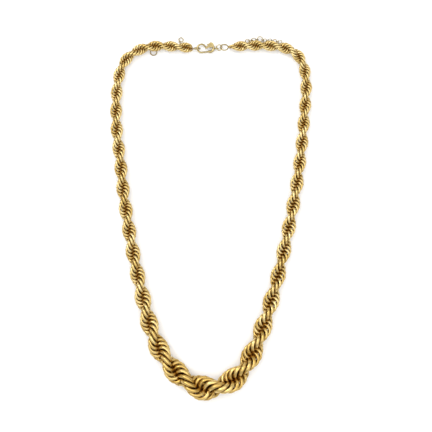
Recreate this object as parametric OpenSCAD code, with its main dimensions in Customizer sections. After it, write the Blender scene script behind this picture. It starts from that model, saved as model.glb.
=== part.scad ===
// Graduated rope chain necklace, clasped and lying flat on a surface.
// Origin: middle of the necklace's outline, on the surface. +Y points to the clasp, +Z up.

/* [Rope] */
// Thickness of the rope at the middle of the front
front_d = 13; // [10:0.1:14]
// Thickness of the rope where the front swelling ends
side_d = 7.6; // [6:0.1:8.5]
// Thickness of the rope at its two ends
end_d = 5.1; // [4:0.1:5.5]
// How far the front swelling reaches from the middle, along the rope
swell_len = 76; // [50:1:100]
// Half a turn of the twist at the front, in thicknesses of the rope
lay_front = 1.27; // [1.2:0.01:1.6]
// Half a turn where the swelling ends on the left, in thicknesses
lay_left = 1.5; // [1.4:0.01:1.9]
// Half a turn where the swelling ends on the right, in thicknesses
lay_right = 1.67; // [1.4:0.01:1.9]
// Half a turn where the back stretch begins on the left, in thicknesses
lay_back_left = 1.49; // [1.3:0.01:1.7]
// Half a turn where the back stretch begins on the right, in thicknesses
lay_back_right = 1.39; // [1.3:0.01:1.7]
// Half a turn at the rope's two ends, in thicknesses
lay_end = 1.41; // [1.3:0.01:1.7]
// Length of the back stretch, from the corner to the rope's end
back_len = 35; // [20:1:60]
// Turn of the twist at the middle of the front, from lying flat
front_turn = 24; // [0:1:180]
// Length over which each end of the rope narrows to its nose
nose_len = 3; // [2:0.1:5]

/* [End rings] */
// Radius of the left end ring, to the middle of its wire
left_ring_r = 1.6; // [1.5:0.05:2]
// Thickness of the left end ring's wire
left_ring_wire = 0.54; // [0.4:0.02:0.6]
// Lean of the left end ring from upright
left_ring_lean = 20; // [0:1:30]
// Radius of the right end ring, to the middle of its wire
right_ring_r = 1.9; // [1.7:0.05:2.2]
// Thickness of the right end ring's wire
right_ring_wire = 0.56; // [0.4:0.02:0.6]
// Tilt of the right end ring from lying flat
right_ring_tilt = 32; // [30:1:38]
// Radius of the jump ring, to the middle of its wire
jump_r = 1.38; // [1.3:0.02:1.6]
// Thickness of the jump ring's wire
jump_wire = 0.48; // [0.4:0.02:0.5]
// Tilt of the jump ring from lying flat
jump_tilt = 20; // [16:1:28]
// Gap between rings and what they lie against
ring_gap = 0.12; // [0.08:0.01:0.2]

/* [Clasp] */
// Thickness of the clasp's head
head_t = 2.1; // [1.9:0.1:2.6]
// Radius of the claw, to the middle of its bar
claw_r = 2.05; // [1.9:0.05:2.4]
// Thickness of the claw's bar
claw_bar = 0.84; // [0.7:0.02:0.9]
// Radius of the clasp's back bow, to the middle of its bar
bow_r = 1.75; // [1.6:0.05:2]
// Thickness of the back bow's bar
bow_bar = 1.3; // [1.1:0.05:1.4]
// Distance from the claw's middle to the back bow's middle
claw_to_bow = 4.3; // [4.1:0.1:5]
// Radius of the head round the lever's pin
head_r = 1.25; // [1.2:0.05:1.4]
// Radius of the tail eye, to the middle of its wire
eye_r = 0.8; // [0.75:0.05:1]
// Thickness of the tail eye's wire
eye_wire = 0.54; // [0.4:0.02:0.56]
// Thickness of the lever
lever_t = 1; // [0.8:0.05:1.1]
// Diameter of the lever's pin
pin_d = 0.6; // [0.5:0.05:0.7]
// Running gap round the pin and on the lever's faces
run_gap = 0.06; // [0.04:0.01:0.08]

/* [Small rings] */
// Radius of a fine chain's ring, to the middle of its wire
fine_r = 1.02; // [0.9:0.02:1.06]
// Thickness of a fine ring's wire
fine_wire = 0.34; // [0.24:0.02:0.36]
// Thickness of the wire of the fine chain's joining links
join_wire = 0.28; // [0.2:0.02:0.3]
// Radius of the fine chain's two larger rings
large_r = 1.25; // [1.15:0.05:1.3]
// Height of the fine chain's joints above the surface
fine_rise = 0.75; // [0.7:0.01:0.85]
// Radius of the upper loose ring on the left
upper_r = 1.15; // [1:0.05:1.2]
// Radius of the lower loose ring on the left
lower_r = 1.6; // [1.4:0.05:1.7]

/* [Hidden] */
$fn = 64;

gold = [0.80, 0.58, 0.22];
pale_gold = [0.86, 0.76, 0.50];

// The chain of pieces between the rope's ends, worked out from left to right
left_end_x = -8.6;
clasp_y = 85.1;
left_ring_x = left_end_x + ring_gap + left_ring_wire / 2 + left_ring_r;
lift = 0.03;
left_ring_z = left_ring_r * cos(left_ring_lean) + left_ring_wire / 2 + lift;
claw_inset = 0.25;
claw_x = left_ring_x + claw_inset + claw_r;
clasp_z = head_t / 2 + 0.15;
claw_y = clasp_y + 0.1;
bow_x = claw_x + claw_to_bow;
bow_y = clasp_y + 0.15;
eye_x = bow_x + bow_r + bow_bar / 2 + eye_r + 0.05;
jump_rise = 0.5;
jump_x = eye_x + jump_r - 0.03;
jump_y = clasp_y + jump_rise;
jump_z = clasp_z + 0.15;
ring_overlap = 0.68;
right_ring_x = jump_x + jump_r + right_ring_r - ring_overlap;
right_ring_y = jump_y + 0.1;
right_ring_z = clasp_z + 0.3;
right_end_x = right_ring_x + right_ring_r + right_ring_wire / 2 + ring_gap;

// Points that the rope's middle line passes, from its left end round the front to its right end
route = [
  [left_end_x, clasp_y], [-19, 86], [-29, 86], [-37, 83.5], [-43, 78], [-46, 69], [-47, 56], [-46.5, 42],
  [-45, 29], [-43.5, 14], [-41, -3], [-38, -20], [-34.5, -36], [-30.5, -52], [-25.5, -65], [-18.3, -75.2],
  [-10, -82.3], [-1, -85], [8, -82.7], [15.5, -77], [21.7, -66.6], [26.8, -53.6], [31, -40.1],
  [34.5, -27.1], [37.9, -12.1], [41, 3], [43.6, 18], [45.4, 32], [46.8, 46], [47.9, 60], [48, 70],
  [46, 78.5], [40.9, 83.9], [32, 86.1], [21, 86.4], [right_end_x, right_ring_y]
];
// Which of those points is the middle of the front
front_point = 17;

// A smooth line through the points
line_steps = 12;
function bend(a, b, c, d, t) =
  0.5 * (2 * b + (c - a) * t + (2 * a - 5 * b + 4 * c - d) * t * t + (3 * b - a - 3 * c + d) * t * t * t);
function point_at(i) =
  i < 0 ? 2 * route[0] - route[1] :
  i > len(route) - 1 ? 2 * route[len(route) - 1] - route[len(route) - 2] : route[i];
rope_line = [
  for (i = [0 : len(route) - 2], j = [0 : line_steps - 1])
    bend(point_at(i - 1), point_at(i), point_at(i + 1), point_at(i + 2), j / line_steps),
  route[len(route) - 1]
];
front_index = front_point * line_steps;

// The same line as two halves that both start at the middle of the front
left_line = [for (i = [front_index : -1 : 0]) rope_line[i]];
right_line = [for (i = [front_index : len(rope_line) - 1]) rope_line[i]];
function lengths(line) = [
  for (i = 0, s = 0; i < len(line); i = i + 1, s = i < len(line) ? s + norm(line[i] - line[i - 1]) : s) s
];
left_lengths = lengths(left_line);
right_lengths = lengths(right_line);
function line_table(line, s, axis) = [for (i = [0 : len(line) - 1]) [s[i], line[i][axis]]];
left_xs = line_table(left_line, left_lengths, 0);
left_ys = line_table(left_line, left_lengths, 1);
right_xs = line_table(right_line, right_lengths, 0);
right_ys = line_table(right_line, right_lengths, 1);
left_len = left_lengths[len(left_lengths) - 1];
right_len = right_lengths[len(right_lengths) - 1];

// Thickness and half turn at a distance s from the middle of the front, on a half of length total
swell_power = 1.3;
function slope_d(total) = (side_d - end_d) / (total - swell_len);
function plain_d(s, total) = end_d + slope_d(total) * (total - s);
function rope_d(s, total) =
  plain_d(s, total) + (front_d - plain_d(0, total)) * pow(max(0, 1 - s / swell_len), swell_power);
function lay(s, total, lays) =
  lookup(s, [[0, lay_front], [swell_len, lays[0]], [total - back_len, lays[1]], [total, lay_end]]);
function half_turn(s, total, lays) = rope_d(s, total) * lay(s, total, lays);

// Section of the rope: angle from its wide way, and radius as a share of half the thickness
lobe = [[0, 1], [20, 0.93], [38, 0.74], [90, 0.56], [142, 0.74], [160, 0.93]];
section = [for (turn = [0, 180], p = lobe) [p[0] + turn, p[1]]];
sections_per_half_turn = 8;
nose_share = 0.85;

// Distances of the sections from the middle of the front
function next_s(s, total, lays) =
  let(half = half_turn(s, total, lays) / sections_per_half_turn)
  s + half_turn(s + half / 2, total, lays) / sections_per_half_turn;
function stations(total, lays) = [
  for (s = 0; s < total - 0.3; s = next_s(s, total, lays)) s
];
function nose(s, total) = sqrt(1 - nose_share * pow(max(0, 1 - (total - s) / nose_len), 2));

// One half of the rope, swept along its line; way is 1 on the right and -1 on the left
module rope_half(xs, ys, total, lays, way) {
  marks = concat(stations(total, lays), [total]);
  sides = len(section);
  count = len(marks);
  last_turn = half_turn(total, total, lays);
  turns = [
    for (i = [0 : count - 1])
      i < count - 1 ? i / sections_per_half_turn
        : (count - 2) / sections_per_half_turn + (total - marks[count - 2]) / last_turn
  ];
  ahead = 0.5;
  points = [
    for (i = [0 : count - 1])
      let(
        s = marks[i],
        before = max(0, s - ahead),
        after = min(total, s + ahead),
        across = way * [lookup(before, ys) - lookup(after, ys), lookup(after, xs) - lookup(before, xs)],
        side_way = i == 0 ? [0, 1] : across / norm(across),
        r = rope_d(s, total) / 2,
        angle = way * 180 * turns[i] + front_turn
      )
      for (p = section)
        let(reach = p[1] * r * nose(s, total))
        [
          lookup(s, xs) + side_way[0] * reach * cos(p[0] + angle),
          lookup(s, ys) + side_way[1] * reach * cos(p[0] + angle),
          r + reach * sin(p[0] + angle)
        ]
  ];
  walls = [
    for (i = [0 : count - 2], j = [0 : sides - 1])
      let(
        a = i * sides + j,
        b = i * sides + (j + 1) % sides,
        c = a + sides,
        d = b + sides
      )
      each way > 0 ? [[a, b, c], [b, d, c]] : [[a, b, d], [a, d, c]]
  ];
  near_cap = [[for (j = [sides - 1 : -1 : 0]) j]];
  far_cap = [[for (j = [0 : sides - 1]) (count - 1) * sides + j]];
  faces = concat(near_cap, walls, far_cap);
  polyhedron(points = points, faces = way > 0 ? [for (f = faces) [for (k = [len(f) - 1 : -1 : 0]) f[k]]] : faces,
    convexity = 10);
}

module rope_left() {
  color(gold) rope_half(left_xs, left_ys, left_len, [lay_left, lay_back_left], -1);
}

module rope_right() {
  color(gold) rope_half(right_xs, right_ys, right_len, [lay_right, lay_back_right], 1);
}

// A round ring of round wire, lying flat round the origin
module ring(r, wire) {
  rotate_extrude() translate([r, 0]) circle(d = wire);
}

// An arc of round wire, from one angle on to the next
module arc(r, wire, from, to) {
  rotate([0, 0, from]) rotate_extrude(angle = to - from) translate([r, 0]) circle(d = wire);
}

module end_ring_left() {
  color(pale_gold) translate([left_ring_x, clasp_y, left_ring_z])
    rotate([left_ring_lean - 90, 0, 0]) ring(left_ring_r, left_ring_wire);
}

module jump_ring() {
  color(pale_gold) translate([jump_x, jump_y, jump_z]) rotate([jump_tilt, 0, 0]) ring(jump_r, jump_wire);
}

module end_ring_right() {
  color(pale_gold) translate([right_ring_x, right_ring_y, right_ring_z])
    rotate([-right_ring_tilt, 0, 0]) ring(right_ring_r, right_ring_wire);
}

// The clasp: the claw's tip stands at one angle, and the bars run round to the head
claw_tip_angle = 30;
claw_foot_angle = 275;
bow_foot_angle = 255;
bead_size = 1.06;
pin_angle = 70;
pin_x = bow_x + bow_r * cos(pin_angle);
pin_y = bow_y + bow_r * sin(pin_angle);
pin_proud = 0.1;
boss_r = head_r - 0.5;
slot_h = lever_t + 2 * run_gap;
slot_r = boss_r + run_gap + 0.04;
slot_reach = head_r + 0.15;
claw_foot = [claw_x + claw_r * cos(claw_foot_angle), claw_y + claw_r * sin(claw_foot_angle)];
bow_foot = [bow_x + bow_r * cos(bow_foot_angle), bow_y + bow_r * sin(bow_foot_angle)];
claw_tip = [claw_x + claw_r * cos(claw_tip_angle), claw_y + claw_r * sin(claw_tip_angle)];
nose_r = 0.42;
nose_gap = 0.12;
nose_angle = -60;
lever_nose = claw_tip + (claw_bar / 2 + nose_r + nose_gap) * [cos(nose_angle), sin(nose_angle)];
tab_reach = 1.75;
tab_angle = 172;
tab_r = 0.32;
tab_proud = 0.12;
lever_tab = [pin_x + tab_reach * cos(tab_angle), pin_y + tab_reach * sin(tab_angle)];

module clasp_body() {
  bar_way = bow_foot - claw_foot;
  color(pale_gold) translate([0, 0, clasp_z]) difference() {
    union() {
      translate([claw_x, claw_y, 0]) arc(claw_r, claw_bar, claw_tip_angle, claw_foot_angle);
      translate([claw_tip[0], claw_tip[1], 0]) sphere(d = claw_bar * bead_size);
      translate([claw_foot[0], claw_foot[1], 0]) rotate([0, 0, 90]) sphere(d = claw_bar * bead_size);
      translate([claw_foot[0], claw_foot[1], 0]) rotate([0, 90, atan2(bar_way[1], bar_way[0])])
        cylinder(d = claw_bar, h = norm(bar_way));
      translate([bow_foot[0], bow_foot[1], 0]) rotate([0, 0, 90]) sphere(d = bow_bar * bead_size);
      translate([bow_x, bow_y, 0]) arc(bow_r, bow_bar, bow_foot_angle, 360 + pin_angle - 12);
      translate([pin_x, pin_y, -head_t / 2]) cylinder(r = head_r, h = head_t);
      translate([eye_x, clasp_y, 0]) rotate([90, 0, 0]) ring(eye_r, eye_wire);
    }
    translate([pin_x, pin_y, -slot_h / 2]) {
      cylinder(r = slot_r, h = slot_h);
      translate([-slot_reach, -slot_reach, 0]) cube([slot_reach, 2 * slot_reach, slot_h]);
    }
    translate([pin_x, pin_y, -head_t]) cylinder(r = pin_d / 2 + run_gap, h = 2 * head_t);
  }
}

module clasp_pin() {
  color(pale_gold) translate([pin_x, pin_y, clasp_z - head_t / 2 - pin_proud])
    cylinder(d = pin_d, h = head_t + 2 * pin_proud);
}

// A flat arm that narrows from a radius at a to a radius at b
module arm(a, b, a_r, b_r) {
  way = b - a;
  translate([a[0], a[1], 0]) rotate([0, 0, atan2(way[1], way[0])]) linear_extrude(lever_t)
    polygon([[0, -a_r], [norm(way), -b_r], [norm(way), b_r], [0, a_r]]);
  translate([b[0], b[1], 0]) cylinder(r = b_r, h = lever_t);
}

module clasp_lever() {
  pin_at = [pin_x, pin_y];
  color(pale_gold) translate([0, 0, clasp_z - lever_t / 2]) difference() {
    union() {
      translate([pin_x, pin_y, 0]) cylinder(r = boss_r, h = lever_t);
      arm(pin_at, lever_nose, 0.6, nose_r);
      arm(pin_at, lever_tab, 0.4, tab_r);
      translate([lever_tab[0], lever_tab[1], -tab_proud]) cylinder(r = tab_r * 1.15, h = lever_t + 2 * tab_proud);
    }
    translate([pin_x, pin_y, -lever_t]) cylinder(r = pin_d / 2 + run_gap, h = 3 * lever_t);
  }
}

// Loose small rings on the left
upper_wire = 0.4;
lower_wire = 0.46;
link_r = 0.75;
link_wire = 0.3;
upper_lean = 14;
upper_ring_x = -14.6;
upper_ring_y = 89.6;
link_shift = 0.5;
upper_link_x = upper_ring_x - link_shift;
upper_link_y = upper_ring_y - upper_r + upper_wire / 2;
lower_ring_x = -28.4;
lower_ring_y = 83.4;
module left_ring_upper() {
  color(pale_gold) translate([upper_ring_x, upper_ring_y, upper_wire / 2 + lift + upper_r * sin(upper_lean)])
    rotate([-upper_lean, 0, 0]) ring(upper_r, upper_wire);
}

module left_link_upper() {
  color(pale_gold) translate([upper_link_x, upper_link_y, link_r + link_wire / 2 + lift])
    rotate([90, 0, 90]) ring(link_r, link_wire);
}

module left_ring_lower() {
  color(pale_gold) translate([lower_ring_x, lower_ring_y, lower_wire / 2 + lift]) ring(lower_r, lower_wire);
}

// The fine chain on the right: its rings, each with x, y, radius and whether it leans
fine_rings = [
  [18.8, 88.95, fine_r, true], [21.95, 89.25, large_r, true], [25.1, 90, large_r, false],
  [27.6, 89.05, fine_r, true], [30.1, 89.15, fine_r, true], [32.6, 88.8, fine_r, true],
  [35.1, 88.5, fine_r, true]
];
link_gap = 0.1;

// A leaning ring's lower edge lies on the surface, and its middle is at the joints' height
function lean_of(i) = fine_rings[i][3] ? asin((fine_rise - fine_wire / 2 - lift) / fine_rings[i][2]) : 0;
function middle_of(i) = [fine_rings[i][0], fine_rings[i][1], fine_rise];
function rim_of(i, angle) =
  middle_of(i) + fine_rings[i][2] * [cos(angle), sin(angle) * cos(lean_of(i)), sin(angle) * sin(lean_of(i))];

module fine_ring(i) {
  color(pale_gold) translate(middle_of(i)) rotate([lean_of(i), 0, 0]) ring(fine_rings[i][2], fine_wire);
}

// An upright link that joins a ring to the next; the least radius that clears both wires
module join_link(i) {
  way = middle_of(i + 1) - middle_of(i);
  angle = atan2(way[1], way[0]);
  near_a = rim_of(i, angle);
  near_b = rim_of(i + 1, angle + 180);
  gap = near_b - near_a;
  half = norm([gap[0], gap[1]]) / 2;
  k = join_wire / 2 + lift - min(near_a[2], near_b[2]);
  g = join_wire / 2 + fine_wire / 2 + link_gap;
  r = (g * g - k * k - half * half) / (2 * (k + g));
  middle = (near_a + near_b) / 2;
  color(pale_gold) translate([middle[0], middle[1], r + join_wire / 2 + lift])
    rotate([0, 0, atan2(gap[1], gap[0])]) rotate([90, 0, 0]) ring(r, join_wire);
}

module safety_link_1() fine_ring(0);
module safety_link_2() join_link(0);
module safety_link_3() fine_ring(1);
module safety_link_4() join_link(1);
module safety_link_5() fine_ring(2);
module safety_link_6() join_link(2);
module safety_link_7() fine_ring(3);
module safety_link_8() join_link(3);
module safety_link_9() fine_ring(4);
module safety_link_10() join_link(4);
module safety_link_11() fine_ring(5);
module safety_link_12() join_link(5);
module safety_link_13() fine_ring(6);

rope_left();
rope_right();
end_ring_left();
clasp_body();
clasp_lever();
clasp_pin();
jump_ring();
end_ring_right();
left_ring_upper();
left_link_upper();
left_ring_lower();
safety_link_1();
safety_link_2();
safety_link_3();
safety_link_4();
safety_link_5();
safety_link_6();
safety_link_7();
safety_link_8();
safety_link_9();
safety_link_10();
safety_link_11();
safety_link_12();
safety_link_13();
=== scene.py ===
# %% [markdown]
# # A graduated rope chain necklace
# A rope chain is a string of small round rings. Each ring is threaded through the few before it and
# turned a little further, so the rings lie against each other as two strands that wind round one
# another. This one is thick at the front and thin at the back, and it lies clasped on a white surface.
# The cells below load the measured model, find the middle line of the rope and the place of each ring
# on it, mix the metals, let Geometry Nodes set a real ring at each place, and light it all as in a
# small studio.

# %% Load the measured model
import math
import random

import bpy
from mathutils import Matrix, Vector


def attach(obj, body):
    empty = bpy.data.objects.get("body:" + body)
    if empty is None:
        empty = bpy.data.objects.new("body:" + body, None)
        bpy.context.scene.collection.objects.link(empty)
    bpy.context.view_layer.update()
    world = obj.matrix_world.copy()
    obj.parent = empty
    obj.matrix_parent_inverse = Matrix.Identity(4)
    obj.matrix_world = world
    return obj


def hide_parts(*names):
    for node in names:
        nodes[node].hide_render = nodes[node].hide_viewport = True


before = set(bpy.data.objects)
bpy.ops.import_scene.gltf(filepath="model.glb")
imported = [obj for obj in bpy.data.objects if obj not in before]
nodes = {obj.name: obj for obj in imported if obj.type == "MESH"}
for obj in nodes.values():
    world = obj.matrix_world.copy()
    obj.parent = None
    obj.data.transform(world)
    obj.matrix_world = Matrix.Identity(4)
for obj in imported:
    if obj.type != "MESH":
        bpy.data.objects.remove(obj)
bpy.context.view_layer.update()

# %% [markdown]
# ## The camera
# The photograph looks straight down on the necklace. A long lens well above it keeps the thick front
# and the thin back at the same scale. One pixel of the picture is half a millimetre at the height of
# the metal, so the camera's distance follows from the lens. Blender counts in metres, so a length in
# millimetres is multiplied by MM.

# %% Camera straight above
MM = 0.001
IMAGE_PIXELS = 432
PIXEL = 0.5 * MM
LENS_MM = 100
SENSOR_MM = 36
METAL_HEIGHT = 4 * MM
VIEW_CENTRE = (3 * MM, 1 * MM)

camera_data = bpy.data.cameras.new("camera")
camera_data.lens = LENS_MM
camera_data.sensor_width = SENSOR_MM
camera = bpy.data.objects.new("camera", camera_data)
bpy.context.scene.collection.objects.link(camera)
camera_distance = IMAGE_PIXELS * PIXEL * LENS_MM / SENSOR_MM
camera.location = (VIEW_CENTRE[0], VIEW_CENTRE[1], METAL_HEIGHT + camera_distance)
bpy.context.scene.camera = camera
print("The camera is", round(camera_distance, 3), "m above the metal")

# %% [markdown]
# ## The middle line of the rope
# The line runs from the left end, round the front, to the right end, through points read off the
# photograph, in millimetres. A Catmull-Rom curve passes through each point, so the line stays where
# the chain lies. The same points shape the solid that the physics uses, so the rings follow that
# solid.

# %% Points of the line and a smooth curve through them
ROUTE = [
    (-8.6, 85.1), (-19, 86), (-29, 86), (-37, 83.5), (-43, 78), (-46, 69), (-47, 56), (-46.5, 42),
    (-45, 29), (-43.5, 14), (-41, -3), (-38, -20), (-34.5, -36), (-30.5, -52), (-25.5, -65),
    (-18.3, -75.2), (-10, -82.3), (-1, -85), (8, -82.7), (15.5, -77), (21.7, -66.6), (26.8, -53.6),
    (31, -40.1), (34.5, -27.1), (37.9, -12.1), (41, 3), (43.6, 18), (45.4, 32), (46.8, 46),
    (47.9, 60), (48, 70), (46, 78.5), (40.9, 83.9), (32, 86.1), (21, 86.4), (9.49, 85.7),
]
FRONT_POINT = 17
LINE_STEPS = 24


def bend(a, b, c, d, t):
    """The point at share t of the way from b to c, with a before and d after."""
    cubic = 3 * b - a - 3 * c + d
    square = 2 * a - 5 * b + 4 * c - d
    return 0.5 * (2 * b + (c - a) * t + square * t * t + cubic * t * t * t)


def smooth_line(points):
    """The smooth line as many short steps, in the order of the points."""
    places = [Vector(p) for p in points]
    places = [2 * places[0] - places[1], *places, 2 * places[-1] - places[-2]]
    line = []
    for i in range(1, len(places) - 2):
        for j in range(LINE_STEPS):
            line.append(bend(*places[i - 1:i + 3], j / LINE_STEPS))
    line.append(places[-2])
    return line


rope_line = smooth_line(ROUTE)
front_index = FRONT_POINT * LINE_STEPS
left_line = rope_line[front_index::-1]
right_line = rope_line[front_index:]
print("The line has", len(rope_line), "points, from the left end to the right")


# %% Lengths along the line
def distances(line):
    """How far along the line each of its points lies."""
    total = [0.0]
    for before, after in zip(line, line[1:]):
        total.append(total[-1] + (after - before).length)
    return total


left_marks = distances(left_line)
right_marks = distances(right_line)
print("The left half is", round(left_marks[-1], 1), "mm long, the right", round(right_marks[-1], 1))

# %% [markdown]
# ## How thick the rope is, and how fast it turns
# The rope swells over the front 76 mm and thins slowly from there to its ends. Half a turn of the
# twist, from one bulge of the outline to the next, is a bit longer than the rope is thick. Its
# length, the lay, is given in thicknesses at four places: at the front, where the swelling ends,
# where the back stretch begins and at the rope's end. The number of rings in half a turn is the same
# everywhere, so thick rope has large rings, far apart. All lengths here are in millimetres.

# %% Thickness and turn along the rope
FRONT_D = 13.0
SIDE_D = 7.6
END_D = 5.1
SWELL_LENGTH = 76
SWELL_POWER = 1.3
LAY_FRONT = 1.27
LAY_SIDE = {"left": 1.50, "right": 1.67}
LAY_BACK = {"left": 1.49, "right": 1.39}
LAY_END = 1.41
BACK_LENGTH = 35
RINGS_PER_HALF_TURN = 14.5


def thickness(s, total):
    """Thickness of the rope at a distance s from the middle of the front."""
    slope = (SIDE_D - END_D) / (total - SWELL_LENGTH)
    swell = max(0, 1 - s / SWELL_LENGTH) ** SWELL_POWER
    return END_D + slope * (total - s) + (FRONT_D - END_D - slope * total) * swell


def half_turn(s, total, side):
    """Length of half a turn of the twist at s, on the left or right half."""
    marks = [0, SWELL_LENGTH, total - BACK_LENGTH, total]
    lays = [LAY_FRONT, LAY_SIDE[side], LAY_BACK[side], LAY_END]
    stretch = 0
    while stretch < len(marks) - 2 and s > marks[stretch + 1]:
        stretch += 1
    share = (s - marks[stretch]) / (marks[stretch + 1] - marks[stretch])
    lay = lays[stretch] + (lays[stretch + 1] - lays[stretch]) * share
    return thickness(s, total) * lay


def ring_step(s, total, side):
    """Distance from one ring to the next at s."""
    return half_turn(s, total, side) / RINGS_PER_HALF_TURN


for side, total in (("left", left_marks[-1]), ("right", right_marks[-1])):
    for s in (0, SWELL_LENGTH, total):
        print(
            side, "half,", round(s), "mm from the front:", round(thickness(s, total), 1), "mm thick,",
            round(half_turn(s, total, side), 1), "mm for half a turn",
        )

# %% [markdown]
# ## Where each ring sits
# From the middle of the front, a walk goes along each half, one ring at a time. It keeps five facts
# for a ring: its place above the middle line, the direction of the line, the angle to which the ring
# has turned, the thickness of its wire, and a tone, drawn at random, for its colour. Neighbours
# stand on opposite sides of the rope, so the angle jumps by half a turn each time, and by the small
# step more that makes the twist. The ring at the very front belongs to the right half, and FRONT_TURN
# is its angle. END_ROOM is the share of a thickness that stays free for the end ring.

# %% A place on the line
DIRECTION_REACH = 2


def place_on(line, marks, s):
    """The point of the line at s, and the direction in which the line leads there."""
    i = 1
    while i < len(marks) - 1 and marks[i] < s:
        i += 1
    share = (s - marks[i - 1]) / (marks[i] - marks[i - 1])
    before = max(i - 1 - DIRECTION_REACH, 0)
    after = min(i + DIRECTION_REACH, len(line) - 1)
    return line[i - 1].lerp(line[i], share), (line[after] - line[before]).normalized()


front_place, front_direction = place_on(right_line, right_marks, 0)
print("The middle of the front lies at", tuple(front_place), "and leads to", tuple(front_direction))

# %% Places of the rings
WIRES_ACROSS_ROPE = 6.2
FRONT_TURN = math.radians(24)
END_ROOM = 0.30
random.seed(7)


def rings_of_half(line, marks, side):
    """The facts of each ring of one half, in metres and radians, from the front to the end."""
    way = 1 if side == "right" else -1
    count = 0 if side == "right" else 1
    total = marks[-1]
    s = count * ring_step(0, total, side)
    rings = []
    while s < total - END_ROOM * thickness(s, total):
        point, ahead = place_on(line, marks, s)
        d = thickness(s, total)
        rings.append({
            "place": Vector((point.x, point.y, d / 2)) * MM,
            "along": (way * ahead.x, way * ahead.y, 0),
            "turn": way * count * math.pi * (1 + 1 / RINGS_PER_HALF_TURN) + FRONT_TURN,
            "wire": d / WIRES_ACROSS_ROPE * MM,
            "tone": random.random(),
        })
        s += ring_step(s + ring_step(s, total, side) / 2, total, side)
        count += 1
    return rings


left_rings = rings_of_half(left_line, left_marks, "left")
right_rings = rings_of_half(right_line, right_marks, "right")
print("Rings on the left:", len(left_rings), "and on the right:", len(right_rings))

# %% [markdown]
# ## The metal
# Both metals of this necklace have one finish: soft noise varies the roughness between two values, as
# handling does, and fine scratches are bump. The noise reads the object's own coordinates, so it
# stays on the metal in every view. Small helpers build the nodes, so each gold is only a short list
# of its own numbers.

# %% Soft noise
def noise(tree, scale, detail):
    """A socket with soft noise on the object's own coordinates."""
    coordinates = tree.nodes.new("ShaderNodeTexCoord")
    texture = tree.nodes.new("ShaderNodeTexNoise")
    texture.inputs["Scale"].default_value = scale
    texture.inputs["Detail"].default_value = detail
    tree.links.new(coordinates.outputs["Object"], texture.inputs["Vector"])
    return texture.outputs["Fac"]


# %% Smears and scratches
SMEAR_SCALE = 420
SMEAR_DETAIL = 5
SMEAR_RANGE = (0.3, 0.7)
SCRATCH_SCALE = 2600
SCRATCH_DETAIL = 3
SCRATCH_STRENGTH = 0.12
SCRATCH_DEPTH = 0.03 * MM


def smeared_roughness(tree, smooth, rough):
    """A socket with a roughness that smears vary between smooth and rough."""
    polish = tree.nodes.new("ShaderNodeMapRange")
    polish.inputs["From Min"].default_value = SMEAR_RANGE[0]
    polish.inputs["From Max"].default_value = SMEAR_RANGE[1]
    polish.inputs["To Min"].default_value = smooth
    polish.inputs["To Max"].default_value = rough
    tree.links.new(noise(tree, SMEAR_SCALE, SMEAR_DETAIL), polish.inputs["Value"])
    return polish.outputs["Result"]


def scratches(tree):
    """A socket with normals that fine scratches tilt."""
    bump = tree.nodes.new("ShaderNodeBump")
    bump.inputs["Strength"].default_value = SCRATCH_STRENGTH
    bump.inputs["Distance"].default_value = SCRATCH_DEPTH
    tree.links.new(noise(tree, SCRATCH_SCALE, SCRATCH_DETAIL), bump.inputs["Height"])
    return bump.outputs["Normal"]


# %% A gold from its colour and its roughness
def gold_material(name, colour_maker, smooth, rough):
    """Worn polished gold whose colour is the socket that colour_maker returns."""
    material = bpy.data.materials.new(name)
    material.use_nodes = True
    tree = material.node_tree
    shader = tree.nodes["Principled BSDF"]
    shader.inputs["Metallic"].default_value = 1.0
    tree.links.new(colour_maker(tree), shader.inputs["Base Color"])
    tree.links.new(smeared_roughness(tree, smooth, rough), shader.inputs["Roughness"])
    tree.links.new(scratches(tree), shader.inputs["Normal"])
    print("Material", name, "has", len(tree.nodes), "nodes")
    return material


# %% [markdown]
# ### The pale gold of the small parts
# The clasp, its lever and the small rings look paler than the rope in the photograph: such parts are
# often bought in, of another alloy. Large soft clouds of wear run from a dull tone to a bright one.

# %% Clouds of wear, and the pale gold
CLOUD_SCALE = 160
CLOUD_DETAIL = 4
CLOUD_RANGE = (0.32, 0.66)
PALE_DULL = (0.27, 0.20, 0.08)
PALE_BRIGHT = (0.46, 0.37, 0.18)


def worn_colour(tree, wear, dull, bright):
    """A socket with a colour between dull and bright, as the socket wear says."""
    ramp = tree.nodes.new("ShaderNodeValToRGB")
    stops = ramp.color_ramp.elements
    stops[0].position, stops[1].position = CLOUD_RANGE
    stops[0].color = (*dull, 1)
    stops[1].color = (*bright, 1)
    tree.links.new(wear, ramp.inputs["Fac"])
    return ramp.outputs["Color"]


def pale_colour(tree):
    """A socket with the colour of the small parts."""
    return worn_colour(tree, noise(tree, CLOUD_SCALE, CLOUD_DETAIL), PALE_DULL, PALE_BRIGHT)


pale_gold = gold_material("pale_gold", pale_colour, smooth=0.14, rough=0.26)

# %% [markdown]
# ### The yellow gold of the rope
# Polished gold is bright where it meets a lamp and dark where rings meet and hide each other. The
# colour paints that shade in: it goes from a painted shade brown to yellow gold by how far a place
# lies from the rope's middle and by how much room it has to the next wire. Each ring has a tone of
# its own, drawn at random, and the thick rings at the front get a deeper yellow, a painted shade as
# well. All these facts are attributes that the rings carry.

# %% Attributes that the metal reads
def attribute_value(tree, name):
    """A socket with the attribute of that name."""
    attribute = tree.nodes.new("ShaderNodeAttribute")
    attribute.attribute_name = name
    return attribute.outputs["Fac"]


def attribute_share(tree, name, attribute_range):
    """A socket that goes smoothly from 0 to 1 as the attribute goes through its range."""
    share = tree.nodes.new("ShaderNodeMapRange")
    share.interpolation_type = "SMOOTHSTEP"
    share.inputs["From Min"].default_value = attribute_range[0]
    share.inputs["From Max"].default_value = attribute_range[1]
    tree.links.new(attribute_value(tree, name), share.inputs["Value"])
    return share.outputs["Result"]


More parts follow.
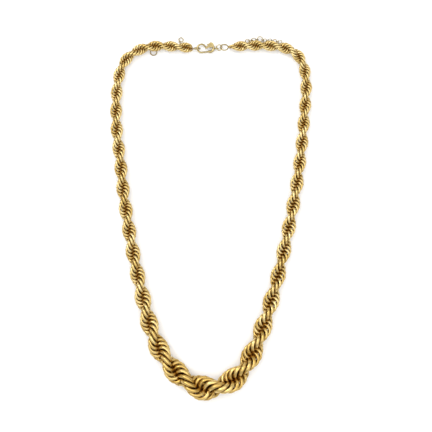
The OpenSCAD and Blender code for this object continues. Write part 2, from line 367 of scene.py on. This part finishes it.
# %% The rope's gold
ROPE_DULL = (0.55, 0.38, 0.12)
ROPE_BRIGHT = (0.76, 0.60, 0.28)
# painted shade: the brown at the rope's middle and where wires lie close together
PAINTED_SHADE_BROWN = (0.21, 0.09, 0.004)
# painted shade: the tint that darkens the thick front rings to a deeper yellow
FRONT_PAINTED_SHADE_TINT = (0.93, 0.87, 0.72)
TONE_SHARE = 0.3
DEPTH_RANGE = (0.10, 0.60)
ROOM_RANGE = (0.25, 1.00)
WIRE_RANGE = (1.2 * MM, 1.9 * MM)


def rope_colour(tree):
    """A socket with the rope's colour and painted shade: brown in its depths, deeper yellow where
    thick.
    """
    wear = tree.nodes.new("ShaderNodeMix")
    wear.inputs["Factor"].default_value = TONE_SHARE
    tree.links.new(noise(tree, CLOUD_SCALE, CLOUD_DETAIL), wear.inputs["A"])
    tree.links.new(attribute_value(tree, "tone"), wear.inputs["B"])
    worn = worn_colour(tree, wear.outputs["Result"], ROPE_DULL, ROPE_BRIGHT)

    # painted shade: the thick front rings darkened to a deeper yellow
    front_painted_shade = tree.nodes.new("ShaderNodeMix")
    front_painted_shade.data_type = "RGBA"
    front_painted_shade.blend_type = "MULTIPLY"
    front_painted_shade.inputs["B"].default_value = (*FRONT_PAINTED_SHADE_TINT, 1)
    tree.links.new(attribute_share(tree, "wire", WIRE_RANGE), front_painted_shade.inputs["Factor"])
    tree.links.new(worn, front_painted_shade.inputs["A"])

    # painted shade: brown mixed in where the rope is deep and where wires lie close
    unshaded_share = tree.nodes.new("ShaderNodeMath")
    unshaded_share.operation = "MULTIPLY"
    tree.links.new(attribute_share(tree, "depth", DEPTH_RANGE), unshaded_share.inputs[0])
    tree.links.new(attribute_share(tree, "room", ROOM_RANGE), unshaded_share.inputs[1])
    painted_shade_mix = tree.nodes.new("ShaderNodeMix")
    painted_shade_mix.data_type = "RGBA"
    painted_shade_mix.inputs["A"].default_value = (*PAINTED_SHADE_BROWN, 1)
    tree.links.new(unshaded_share.outputs["Value"], painted_shade_mix.inputs["Factor"])
    tree.links.new(front_painted_shade.outputs["Result"], painted_shade_mix.inputs["B"])
    return painted_shade_mix.outputs["Result"]


rope_gold = gold_material("rope_gold", rope_colour, smooth=0.22, rough=0.36)

# %% [markdown]
# ## A tree that makes the rope
# Each real ring is a bent wire whose ends nearly meet; the gap is what lets it be threaded, and it
# hides inside the rope. Several hundred rings differ only in place, turn and size, so one ring is
# made once, with the thickness of its wire as the unit. Geometry Nodes set a copy on every point,
# turned by the point's own facts, and scaled by its wire. The ring's sizes are inputs of the tree.

# %% Inputs and output of the tree
RING_RADIUS = 2.0
RING_OFFSET = 0.6
RING_LEAN = math.radians(-6)
WIRE_BREADTH = 1.15
GAP_CENTRE = math.radians(180)
GAP_WIDTH = math.radians(26)
RING_POINTS = 15
WIRE_SIDES = 6

rope_tree = bpy.data.node_groups.new("rope_of_rings", "GeometryNodeTree")
rope_tree.interface.new_socket("Places", in_out="INPUT", socket_type="NodeSocketGeometry")
input_values = {}
for name, kind, value in (
    ("Ring radius", "NodeSocketFloat", RING_RADIUS),
    ("Ring offset", "NodeSocketFloat", RING_OFFSET),
    ("Ring lean", "NodeSocketFloat", RING_LEAN),
    ("Wire breadth", "NodeSocketFloat", WIRE_BREADTH),
    ("Gap centre", "NodeSocketFloat", GAP_CENTRE),
    ("Gap width", "NodeSocketFloat", GAP_WIDTH),
    ("Ring points", "NodeSocketInt", RING_POINTS),
    ("Wire sides", "NodeSocketInt", WIRE_SIDES),
    ("Metal", "NodeSocketMaterial", rope_gold),
):
    socket = rope_tree.interface.new_socket(name, in_out="INPUT", socket_type=kind)
    input_values[socket.identifier] = value
rope_tree.interface.new_socket("Rings", in_out="OUTPUT", socket_type="NodeSocketGeometry")
print("The tree has", len(input_values), "inputs besides the places")


# %% Helpers for the tree's nodes
def node(kind, **settings):
    """A node of that kind with these settings."""
    made = rope_tree.nodes.new(kind)
    for key, value in settings.items():
        setattr(made, key, value)
    return made


def join(source, target):
    """A link between two sockets, or from a plain value to a socket."""
    if isinstance(source, bpy.types.NodeSocket):
        rope_tree.links.new(source, target)
    else:
        target.default_value = source


def maths(operation, a, b=0.0):
    """The outcome of one operation on two numbers, each a socket or a plain value."""
    made = node("ShaderNodeMath", operation=operation)
    join(a, made.inputs[0])
    join(b, made.inputs[1])
    return made.outputs[0]


def vector(x=0.0, y=0.0, z=0.0):
    """A vector of three numbers, each a socket or a plain value."""
    made = node("ShaderNodeCombineXYZ")
    join(x, made.inputs["X"])
    join(y, made.inputs["Y"])
    join(z, made.inputs["Z"])
    return made.outputs["Vector"]


def fact(name, kind="FLOAT"):
    """A fact that the points carry."""
    made = node("GeometryNodeInputNamedAttribute", data_type=kind)
    made.inputs["Name"].default_value = name
    return made.outputs["Attribute"]


def keep(geometry, name, value):
    """The geometry with the value stored on its points under that name."""
    store = node("GeometryNodeStoreNamedAttribute", data_type="FLOAT", domain="POINT")
    store.inputs["Name"].default_value = name
    join(geometry, store.inputs["Geometry"])
    join(value, store.inputs["Value"])
    return store.outputs["Geometry"]


given = node("NodeGroupInput").outputs
print("The tree is given:", ", ".join(socket.name for socket in given if socket.name))

# %% [markdown]
# ### One ring
# An arc that leaves out the gap is swept with a wire and capped. The wire is a little broader than
# thick, as the rings of a rolled rope are. The ring then moves off the rope's middle, and every point
# of it stores how far it lies from that middle, as a share of the rope's reach: the metal paints
# shade from this depth, darker towards the middle.

# %% The ring in its own place
WIRE_RADIUS = 0.5
FULL_TURN = 2 * math.pi

half_gap = maths("MULTIPLY", given["Gap width"], 0.5)
arc = node("GeometryNodeCurveArc", mode="RADIUS")
join(given["Ring points"], arc.inputs["Resolution"])
join(given["Ring radius"], arc.inputs["Radius"])
join(maths("ADD", given["Gap centre"], half_gap), arc.inputs["Start Angle"])
join(maths("SUBTRACT", FULL_TURN, given["Gap width"]), arc.inputs["Sweep Angle"])

wire_round = node("GeometryNodeCurvePrimitiveCircle", mode="RADIUS")
join(given["Wire sides"], wire_round.inputs["Resolution"])
join(WIRE_RADIUS, wire_round.inputs["Radius"])
wire_oval = node("GeometryNodeTransform")
join(wire_round.outputs["Curve"], wire_oval.inputs["Geometry"])
join(vector(1.0, given["Wire breadth"], 1.0), wire_oval.inputs["Scale"])

sweep = node("GeometryNodeCurveToMesh")
join(arc.outputs["Curve"], sweep.inputs["Curve"])
join(wire_oval.outputs["Geometry"], sweep.inputs["Profile Curve"])
join(True, sweep.inputs["Fill Caps"])
moved = node("GeometryNodeTransform")
join(sweep.outputs["Mesh"], moved.inputs["Geometry"])
join(vector(x=given["Ring offset"]), moved.inputs["Translation"])

position = node("GeometryNodeInputPosition").outputs["Position"]
parts = node("ShaderNodeSeparateXYZ")
join(position, parts.inputs["Vector"])
squares = [maths("POWER", parts.outputs[axis], 2.0) for axis in "XZ"]
from_middle = maths("SQRT", maths("ADD", *squares))
rope_reach = maths("ADD", maths("ADD", given["Ring radius"], given["Ring offset"]), WIRE_RADIUS)
with_depth = keep(moved.outputs["Geometry"], "depth", maths("DIVIDE", from_middle, rope_reach))
one_ring = node("GeometryNodeSetShadeSmooth")
join(with_depth, one_ring.inputs["Geometry"])
print("One ring takes", len(rope_tree.nodes), "nodes")

# %% [markdown]
# ### Each ring's turn
# The ring's X points out from the rope and its Y along it. The first rotation lays these on the
# level direction across the line and on the line itself. The second turns the ring round the line, by
# its own angle, and leans it by the same small angle everywhere, so that it clears its neighbours.

# %% Rotation and copies
along = fact("along", "FLOAT_VECTOR")
way = node("ShaderNodeSeparateXYZ")
join(along, way.inputs["Vector"])
across = vector(maths("MULTIPLY", way.outputs["Y"], -1.0), way.outputs["X"])

lay_down = node("FunctionNodeAxesToRotation", primary_axis="X", secondary_axis="Y")
join(across, lay_down.inputs["Primary Axis"])
join(along, lay_down.inputs["Secondary Axis"])

lean = maths("MULTIPLY", given["Ring lean"], -1.0)
own_turn = node("FunctionNodeEulerToRotation")
join(vector(lean, fact("turn")), own_turn.inputs["Euler"])
whole_turn = node("FunctionNodeRotateRotation", rotation_space="LOCAL")
join(lay_down.outputs["Rotation"], whole_turn.inputs["Rotation"])
join(own_turn.outputs["Rotation"], whole_turn.inputs["Rotate By"])

copies = node("GeometryNodeInstanceOnPoints")
join(given["Places"], copies.inputs["Points"])
join(one_ring.outputs["Geometry"], copies.inputs["Instance"])
join(whole_turn.outputs["Rotation"], copies.inputs["Rotation"])
join(fact("wire"), copies.inputs["Scale"])
real_rings = node("GeometryNodeRealizeInstances")
join(copies.outputs["Instances"], real_rings.inputs["Geometry"])
print("With its copies it takes", len(rope_tree.nodes), "nodes")

# %% [markdown]
# ### Room up to the next wire
# From just above every point of the metal, a ray as long as the wire is thick goes straight out. If
# it meets another wire, the point stores how far that is, as a share of the ray; if not, it stores 1.
# The metal paints shade, dark brown, where this room is small.

# %% Rays, and the metal
RAY_LIFT = 0.03

normal = node("GeometryNodeInputNormal").outputs["Normal"]
start = node("ShaderNodeVectorMath", operation="MULTIPLY_ADD")
join(normal, start.inputs[0])
join(maths("MULTIPLY", fact("wire"), RAY_LIFT), start.inputs[1])
join(position, start.inputs[2])
ray = node("GeometryNodeRaycast")
join(real_rings.outputs["Geometry"], ray.inputs["Target Geometry"])
join(start.outputs["Vector"], ray.inputs["Source Position"])
join(normal, ray.inputs["Ray Direction"])
join(fact("wire"), ray.inputs["Ray Length"])
distance = maths("DIVIDE", ray.outputs["Hit Distance"], fact("wire"))
filled = maths("MULTIPLY", ray.outputs["Is Hit"], maths("SUBTRACT", 1.0, distance))
# the room is the mask of a painted shade between close wires
with_room = keep(real_rings.outputs["Geometry"], "room", maths("SUBTRACT", 1.0, filled))

metal = node("GeometryNodeSetMaterial")
join(with_room, metal.inputs["Geometry"])
join(given["Metal"], metal.inputs["Material"])
outcome = node("NodeGroupOutput")
join(metal.outputs["Geometry"], outcome.inputs["Rings"])
print("The whole tree has", len(rope_tree.nodes), "nodes")

# %% [markdown]
# ## The rope in place
# A mesh of bare points carries the facts of one half's rings as attributes, and the tree runs on it.
# Its result becomes a plain mesh, because an exported model keeps no instances, and that mesh stands
# for the twisted solid of the same half.

# %% Points that carry the facts
FACT_KINDS = {"along": "FLOAT_VECTOR", "turn": "FLOAT", "wire": "FLOAT", "tone": "FLOAT"}


def places_object(name, rings):
    """A mesh of one point for each ring, with the ring's facts as attributes."""
    mesh = bpy.data.meshes.new(name)
    mesh.from_pydata([ring["place"] for ring in rings], [], [])
    for fact_name, kind in FACT_KINDS.items():
        attribute = mesh.attributes.new(fact_name, kind, "POINT")
        slot = "vector" if kind == "FLOAT_VECTOR" else "value"
        for item, ring in zip(attribute.data, rings):
            setattr(item, slot, ring[fact_name])
    piece = bpy.data.objects.new(name, mesh)
    bpy.context.scene.collection.objects.link(piece)
    return piece


# %% Run the tree on both halves
def rope_half(name, rings, cad_node):
    """The rings of one half as a plain mesh that stands for the solid cad_node."""
    piece = places_object(name, rings)
    modifier = piece.modifiers.new("rings", "NODES")
    modifier.node_group = rope_tree
    for identifier, value in input_values.items():
        modifier[identifier] = value
    depsgraph = bpy.context.evaluated_depsgraph_get()
    made = bpy.data.meshes.new_from_object(piece.evaluated_get(depsgraph), depsgraph=depsgraph)
    piece.modifiers.remove(modifier)
    piece.data = made
    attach(piece, "necklace")
    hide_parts(cad_node)
    print(name, "has", len(made.polygons), "faces")


rope_half("rope_links_left", left_rings, "rope_left")
rope_half("rope_links_right", right_rings, "rope_right")

# %% [markdown]
# ## Clasp and small rings
# The clasp, its lever and the small rings are exact solids with their true shape already, so they
# keep their meshes and only get the pale gold.

# %% Metal on the small parts
small_parts = [part for name, part in nodes.items() if name not in ("rope_left", "rope_right")]
for part in small_parts:
    part.data.materials.clear()
    part.data.materials.append(pale_gold)
print("Small parts with the pale gold:", len(small_parts))

# %% [markdown]
# ## The surface and the light
# The necklace lies on matt white paper, which is set a hair lower than the metal, so that no ring cuts
# it. A surface almost without shadows needs light from everywhere: a wide soft lamp above and a pale
# surround. A smaller lamp from the upper left gives each ring its bright stroke, and a weak one from
# the lower right fills the other side. Places are in metres.

# %% Floor
FLOOR_SIZE = 20.0
FLOOR_Z = -0.3 * MM
PAPER_COLOUR = (0.97, 0.97, 0.97, 1)
PAPER_ROUGHNESS = 0.9
PAPER_SHINE = 0.1

half = FLOOR_SIZE / 2
corners = [(x, y, FLOOR_Z) for x, y in ((-half, -half), (half, -half), (half, half), (-half, half))]
floor_mesh = bpy.data.meshes.new("floor")
floor_mesh.from_pydata(corners, [], [(0, 1, 2, 3)])
floor = bpy.data.objects.new("floor", floor_mesh)
bpy.context.scene.collection.objects.link(floor)
paper = bpy.data.materials.new("white_paper")
paper.use_nodes = True
paper_shader = paper.node_tree.nodes["Principled BSDF"]
paper_shader.inputs["Base Color"].default_value = PAPER_COLOUR
paper_shader.inputs["Roughness"].default_value = PAPER_ROUGHNESS
paper_shader.inputs["Specular IOR Level"].default_value = PAPER_SHINE
floor_mesh.materials.append(paper)
print("The floor is", FLOOR_SIZE, "m wide")

# %% Lamps and surround
LAMPS = {
    "overhead": {"place": (0.05, 0.15, 1.2), "width": 2.0, "watts": 15.7},
    "key": {"place": (-0.7, 0.6, 0.9), "width": 0.35, "watts": 4.0},
    "fill": {"place": (0.8, -0.5, 0.7), "width": 0.5, "watts": 1.0},
}
SURROUND_COLOUR = (1, 1, 1, 1)
SURROUND_STRENGTH = 0.72


def soft_lamp(name, place, width, watts):
    """A square soft lamp that shines at the middle of the necklace."""
    data = bpy.data.lights.new(name, "AREA")
    data.size = width
    data.energy = watts
    lamp = bpy.data.objects.new(name, data)
    lamp.location = place
    lamp.rotation_euler = (-Vector(place)).to_track_quat("-Z", "Y").to_euler()
    bpy.context.scene.collection.objects.link(lamp)


for lamp_name, settings in LAMPS.items():
    soft_lamp(lamp_name, **settings)

world = bpy.data.worlds.new("surround")
bpy.context.scene.world = world
world.use_nodes = True
background = world.node_tree.nodes["Background"]
background.inputs["Color"].default_value = SURROUND_COLOUR
background.inputs["Strength"].default_value = SURROUND_STRENGTH
bpy.context.scene.view_settings.view_transform = "Standard"
print("Lamps:", ", ".join(LAMPS))
